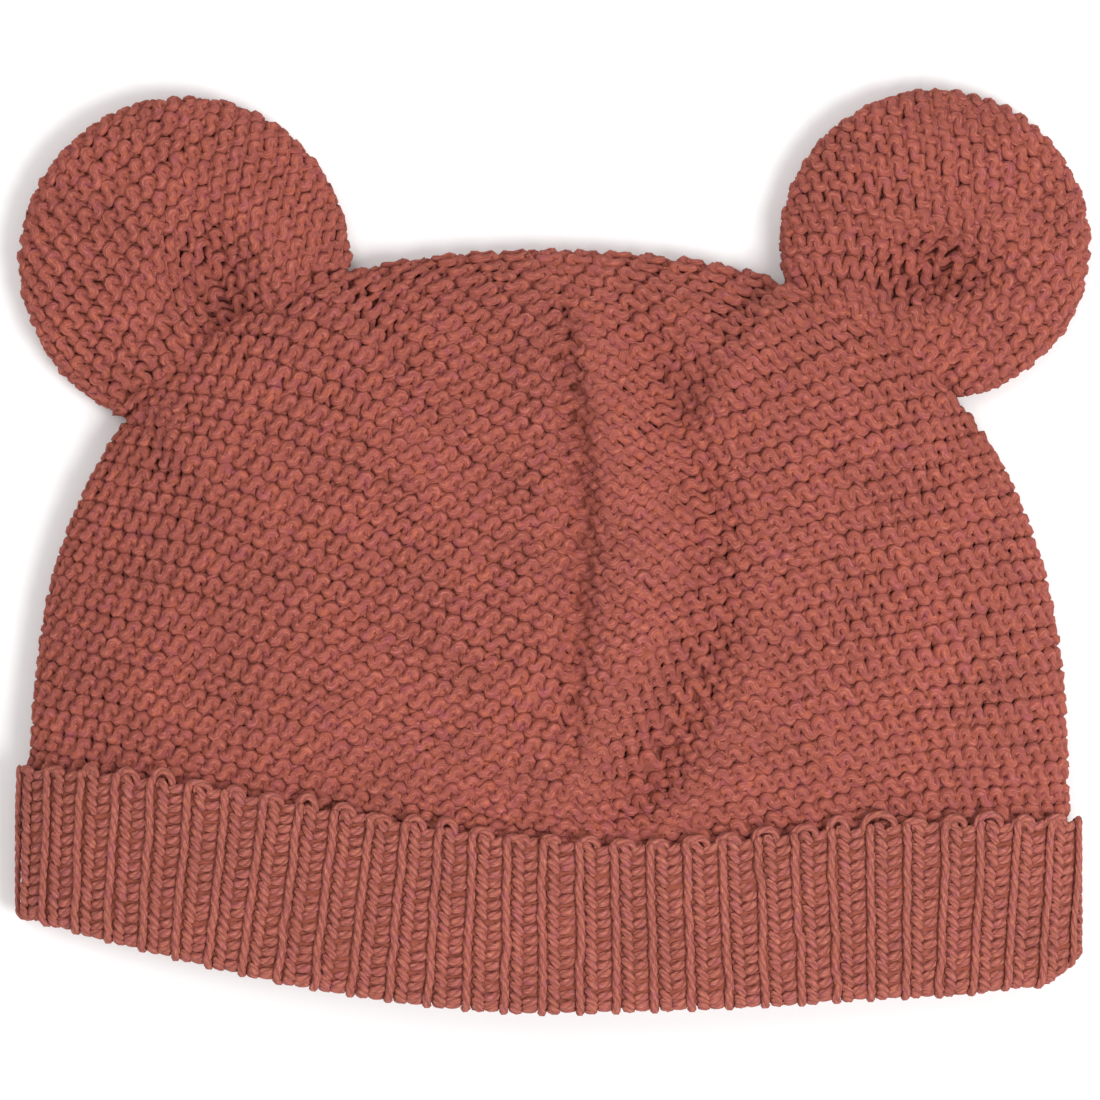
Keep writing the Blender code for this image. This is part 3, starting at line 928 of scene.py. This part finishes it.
def make_cuff_yarn(yarn):
    """Each rib has a straight strand on its left, slanting legs on its right, and short arcs in
    the furrow beside it, one to a row, as slightly turned one-by-one rib has."""
    rng = np.random.default_rng(23)
    pitch = CUFF_ROUND / RIBS
    past_hem = 12.0 * MM  # how far the ribs run on, round the hem and up inside
    parts = {"front": {"knit": [], "furrow": []}, "back": {"knit": [], "furrow": []}}

    def add(kind, side, sideways, down, deep, radius):
        centre = cuff_point(sideways, down, deep)
        facing = unit(cuff_point(sideways, down, deep - 0.4 * MM) - centre)
        parts[side][kind].append((centre, facing, radius, np.ones(len(centre), bool)))

    for rib in range(RIBS):
        middle = (rib if rib <= RIBS // 2 else rib - RIBS) * pitch
        around = even_around(middle / CUFF_ROUND)
        side = "front" if abs(around) < 0.25 else "back"
        height = float(cuff_height(np.array([around]))[0])
        rows = int((height + past_hem) / CUFF_ROW)
        # The left strand, with a slight swell at each row
        count = rows * 4
        t = np.linspace(0.0, rows * CUFF_ROW, count)
        phase = 2 * math.pi * t / CUFF_ROW
        wave = 0.08 * MM * np.sin(phase) + 0.15 * MM * smooth_random(rng, count, 6)
        deep = STRAND + 0.10 * MM * (1 - np.cos(phase)) / 2
        add("knit", side, middle - 1.15 * MM + wave, t + 1.2 * MM, deep, np.full(count, STRAND))
        # The right legs, from their upper left to their lower right, and the furrow's arcs
        leg = np.linspace(0.0, 1.0, 7)
        arc = np.linspace(-1.0, 1.0, 6)
        for k in range(rows):
            top = 1.4 * MM + k * CUFF_ROW + 0.12 * MM * rng.normal()
            sideways = middle + (-0.30 + 1.75 * leg + 0.25 * np.sin(math.pi * leg)) * MM
            sideways = sideways + 0.06 * MM * rng.normal()
            down = top + (2.5 * leg**1.1) * MM
            deep = STRAND + (0.75 * (1 - leg) ** 2 + 0.55 * leg**3) * MM
            radius = STRAND * (1 + 0.05 * rng.normal())
            add("knit", side, sideways, down, deep, np.full(len(leg), radius))
            sideways = middle + (2.95 + 1.5 * arc + 0.10 * rng.normal()) * MM
            sagging = 0.9 - 0.42 * arc + 0.40 * (1 - arc**2) + 0.10 * rng.normal()
            deep = (1.30 + 0.35 * arc**2 + 0.10 * rng.normal()) * MM
            add("furrow", side, sideways, top + sagging * MM, deep, FURROW_ARC * (1 - 0.2 * arc**2))
        # The cast-on loop that closes the rib at the top, low where the cuff folds at its sides
        angle = math.pi * np.linspace(-0.12, 1.12, 16)
        wide, tall = 1.65 + 0.30 * rng.normal(), 1.55 + 0.45 * rng.normal()
        tall = tall * (1.0 - 0.7 * float(eased((0.04 - abs(abs(around) - 0.25)) / 0.03)))
        sideways = middle + (0.25 + 0.20 * rng.normal() - wide * np.cos(angle)) * MM
        down = (2.1 - tall * np.clip(np.sin(angle), -0.3, 1.0) + 0.15 * rng.normal()) * MM
        deep = STRAND + (0.60 - 0.25 * np.sin(angle)) * MM
        add("knit", side, sideways, down, deep, np.full(len(angle), 0.92 * STRAND))
        # The yarn inside that loop
        inner = np.linspace(-1.0, 1.0, 8)
        sideways = middle + (0.30 + 0.15 * rng.normal() + 0.75 * inner) * MM
        down = (1.5 + 1.3 * np.abs(inner) ** 1.3 + 0.15 * rng.normal()) * MM
        deep = (1.15 + 0.2 * inner**2) * MM
        add("knit", side, sideways, down, deep, np.full(len(inner), 0.8 * STRAND))
    for side, kinds in parts.items():
        for kind, rows in kinds.items():
            name = f"cuff_{side}_{kind}"
            mesh = yarn_mesh(name, *gather(rows), 6 if side == "front" else 5)
            finish_piece(name, mesh, yarn, "brim")


def make_cuff_ground(ground):
    """The cuff's cloth behind the ribs, from its top edge over the hem and up inside.

    It starts as a torus, which is then laid out as the cuff's closed section.
    """
    shape = bmesh.new()
    count = 14  # points on each face of the cloth
    columns = 180
    upright = Matrix.Rotation(math.pi / 2, 3, "X")
    ring = bmesh.ops.create_circle(shape, segments=2 * count, radius=0.25)["verts"]
    bmesh.ops.rotate(shape, verts=ring, cent=(0, 0, 0), matrix=upright)
    bmesh.ops.translate(shape, verts=ring, vec=(1.0, 0.0, 0.0))
    bmesh.ops.spin(
        shape,
        geom=shape.edges[:],
        cent=(0, 0, 0),
        axis=(0, 0, 1),
        angle=2 * math.pi,
        steps=columns,
        use_merge=True,
    )
    bmesh.ops.recalc_face_normals(shape, faces=shape.faces)
    at = np.array([vertex.co for vertex in shape.verts])
    column = np.round(np.arctan2(-at[:, 1], at[:, 0]) / (2 * math.pi) * columns) % columns
    turn = np.arctan2(at[:, 2], np.hypot(at[:, 0], at[:, 1]) - 1.0) / (2 * math.pi)
    row = np.round(turn * 2 * count).astype(int) % (2 * count)
    sideways = np.where(column > columns / 2, column - columns, column) / columns * CUFF_ROUND
    height = cuff_height(even_around(sideways / CUFF_ROUND))
    share = np.where(row < count, row, 2 * count - 1 - row) / (count - 1)
    # Two fifths of the points lie along the outer leg, and the rest round the hem and up inside
    knots = [0.0, 0.42, 0.75, 1.0]
    reach = np.stack(
        [
            np.full_like(height, 2.3 * MM),
            height - HEM_BEND,
            height + 2.3 * HEM_BEND,
            height + 20 * MM,
        ]
    )
    down = np.empty_like(height)
    for i in range(len(height)):
        down[i] = np.interp(share[i], knots, reach[:, i])
    one_face, other_face = 1.35 * MM, 2.0 * MM
    deep = np.where(row < count, one_face, other_face)
    # The inner leg runs on into the crown's cloth
    into_crown, from_share = 2.4 * MM, 0.78
    deep = deep - into_crown * eased((share - from_share) / (1.0 - from_share))
    for vertex, place in zip(shape.verts, cuff_point(sideways, down, deep)):
        vertex.co = place
    mesh = bpy.data.meshes.new("cuff_ground")
    shape.to_mesh(mesh)
    shape.free()
    mesh.shade_smooth()
    finish_piece("cuff_ground", mesh, ground, "brim")


# Studio


def make_studio():
    scene = bpy.context.scene
    scene.view_settings.view_transform = "Standard"
    floor_shape = bmesh.new()
    bmesh.ops.create_grid(floor_shape, x_segments=1, y_segments=1, size=6.0)
    bmesh.ops.translate(floor_shape, verts=floor_shape.verts, vec=(0, 0, -0.05 * MM))
    mesh = bpy.data.meshes.new("floor")
    floor_shape.to_mesh(mesh)
    floor_shape.free()
    floor = bpy.data.objects.new("floor", mesh)
    scene.collection.objects.link(floor)
    paper = bpy.data.materials.new("white_paper")
    paper.use_nodes = True
    shader = paper.node_tree.nodes["Principled BSDF"]
    shader.inputs["Base Color"].default_value = linear("#F8F8F8")
    shader.inputs["Roughness"].default_value = 0.9
    mesh.materials.append(paper)

    world = bpy.data.worlds.new("studio")
    scene.world = world
    world.use_nodes = True
    background = world.node_tree.nodes["Background"]
    background.inputs["Color"].default_value = (1.0, 1.0, 1.0, 1.0)
    background.inputs["Strength"].default_value = 0.74

    # name, place, width, watts
    for name, place, width, power in (
        ("key", (0.66, -0.38, 1.20), 0.7, 13.5),
        ("fill", (-0.30, 0.34, 1.40), 0.6, 4.0),
    ):
        light = bpy.data.lights.new(name, "AREA")
        light.shape = "DISK"
        light.size = width
        light.energy = power
        lamp = bpy.data.objects.new(name, light)
        lamp.location = place
        lamp.rotation_mode = "QUATERNION"
        lamp.rotation_quaternion = (-Vector(place)).to_track_quat("-Z", "Y")
        scene.collection.objects.link(lamp)

    camera = bpy.data.cameras.new("camera")
    above = 3.0
    edge_height = 6 * MM
    picture_width, pixel = 1100, 0.1684 * MM  # a pixel's size at the height of the hat's edge
    camera.lens = camera.sensor_width * (above - edge_height) / (picture_width * pixel)
    camera.clip_end = 20.0
    eye = bpy.data.objects.new("camera", camera)
    eye.location = (0.08 * MM, -0.08 * MM, above)
    scene.collection.objects.link(eye)
    scene.camera = eye


def main():
    yarn = cotton_yarn(
        "garter_cotton_yarn",
        plies=0.3,
        body="#A15449",
        fleck="#B45F46",
        pink="#9F4F58",
        # darker fibres and slow changes, and painted shade in the bump's hollows
        shade="#804239",
        # painted shade in the grooves between the plies
        ply_groove_shade="#74402F",
        # lighter fibres, and painted highlight on the bump's crests
        light_fibre_and_highlight="#C37566",
    )
    rib_yarn = cotton_yarn(
        "rib_cotton_yarn",
        plies=0.9,
        body="#AB5C51",
        fleck="#B76B52",
        pink="#A95961",
        # darker fibres and slow changes, and painted shade in the bump's hollows
        shade="#8C4B41",
        # painted shade in the grooves between the plies
        ply_groove_shade="#764238",
        # lighter fibres, and painted highlight on the bump's crests
        light_fibre_and_highlight="#CA8071",
    )
    # The cloth behind the ridges, in colours darkened as painted shade
    ground = knitted_ground("garter_ground_painted_shade", deep="#6E372D", light="#9A5548")
    rib_ground = knitted_ground("rib_ground_painted_shade", deep="#743A2E", light="#A25A48")
    make_crown_ground(ground)
    make_crown_yarn(yarn)
    for seed, row in enumerate(EARS):
        make_ear_ground(row, ground)
        make_ear_yarn(row, yarn, 31 + seed)
    make_cuff_ground(rib_ground)
    make_cuff_yarn(rib_yarn)
    make_studio()


main()
